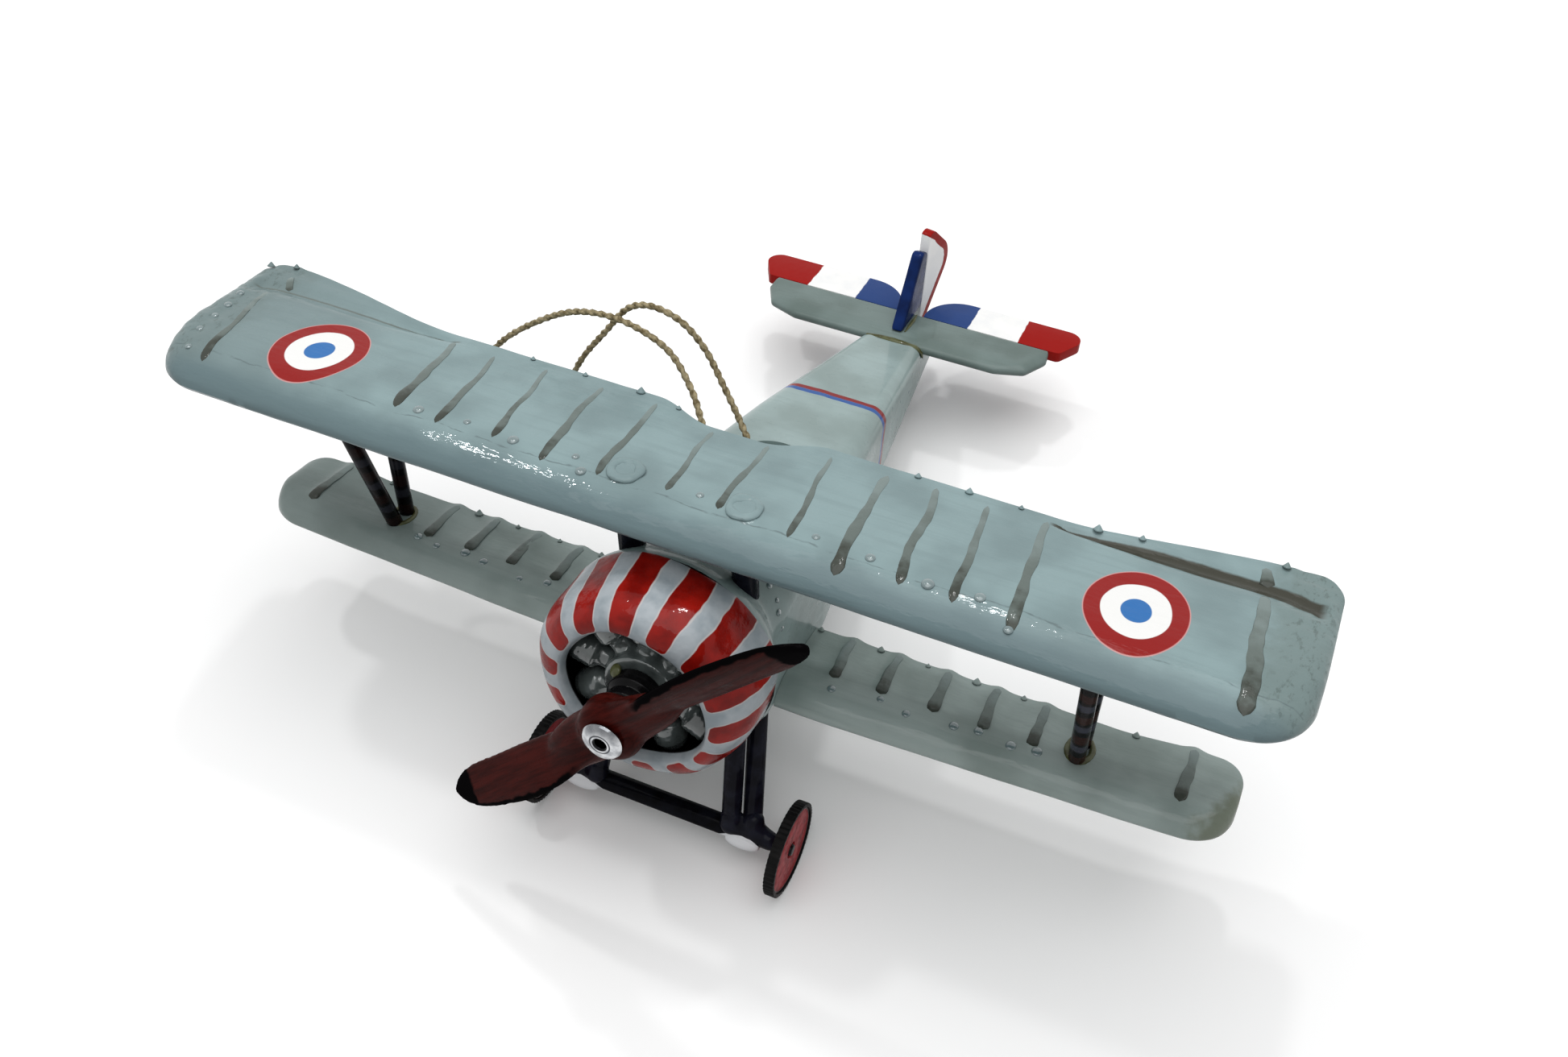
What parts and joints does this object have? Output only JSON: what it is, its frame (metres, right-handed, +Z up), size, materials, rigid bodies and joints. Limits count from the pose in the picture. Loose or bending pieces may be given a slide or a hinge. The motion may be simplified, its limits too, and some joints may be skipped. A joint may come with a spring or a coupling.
{
  "type": "biplane model",
  "caption": "Hand-painted wooden biplane ornament with striped cowling, radial engine, turning propeller and wheels, strutted wings, tricolour tail and a twine hanging loop.",
  "frame": {"origin": "on the ground under the middle of the model's length and span, with the model standing on its wheels and tail skid", "axes": "+X along the span toward the model's left wing, -Y toward the nose, +Z up from the ground"},
  "size_m": [0.15, 0.1203, 0.061],
  "materials": {
    "grey_paint": "glossy grey-green paint on carved wood",
    "grey_paint_dark": "glossy darker grey-green paint on carved wood",
    "cowl_paint": "pale grey-blue gloss paint with red stripes",
    "engine_metal": "dark metallic paint under clear varnish",
    "black_gloss": "black gloss paint",
    "navy_gloss": "dark navy gloss paint",
    "bright_metal": "bright nickel",
    "mahogany": "dark red-brown satin with black tips",
    "tyre_black": "matt black, notched",
    "red_plastic": "red satin",
    "white_paint": "white gloss paint with blue and red fields",
    "blue_paint": "blue gloss paint",
    "eye_brass": "plain brass wire",
    "hemp": "two-ply tan twine"
  },
  "bodies": {
    "airframe": {"fuselage": "grey_paint", "cowling": "cowl_paint", "engine": "engine_metal", "crankcase_nose": "black_gloss", "prop_rivet": "bright_metal", "upper_wing": "grey_paint", "lower_wing_left": "grey_paint_dark", "lower_wing_right": "grey_paint_dark", "interplane_front_left": "black_gloss", "interplane_front_right": "black_gloss", "interplane_rear_left": "black_gloss", "interplane_rear_right": "black_gloss", "cabane_left": "navy_gloss", "cabane_right": "navy_gloss", "gear_front_left": "navy_gloss", "gear_front_right": "navy_gloss", "gear_rear_left": "navy_gloss", "gear_rear_right": "navy_gloss", "spreader_bar": "navy_gloss", "axle": "black_gloss", "axle_cap_left": "black_gloss", "axle_cap_right": "black_gloss", "tailplane": "grey_paint_dark", "elevator_left": "white_paint", "elevator_right": "white_paint", "fin": "blue_paint", "rudder": "white_paint", "tail_skid": "navy_gloss", "screw_eye": "eye_brass", "twine_loop": "hemp"},
    "propeller": {"propeller": "mahogany"},
    "wheel_left": {"tyre_left": "tyre_black", "wheel_disc_left": "red_plastic"},
    "wheel_right": {"tyre_right": "tyre_black", "wheel_disc_right": "red_plastic"}
  },
  "joints": [
    {"name": "prop_spin", "type": "hinge", "parent": "airframe", "child": "propeller", "pos_m": [0, -0.05377, 0.03767], "axis": [0, -0.9781, 0.2079], "continuous": true},
    {"name": "wheel_left_spin", "type": "hinge", "parent": "airframe", "child": "wheel_left", "pos_m": [0.0185, -0.04563, 0.0067], "axis": [1, 0, 0], "continuous": true},
    {"name": "wheel_right_spin", "type": "hinge", "parent": "airframe", "child": "wheel_right", "pos_m": [-0.0185, -0.04563, 0.0067], "axis": [1, 0, 0], "continuous": true}
  ]
}
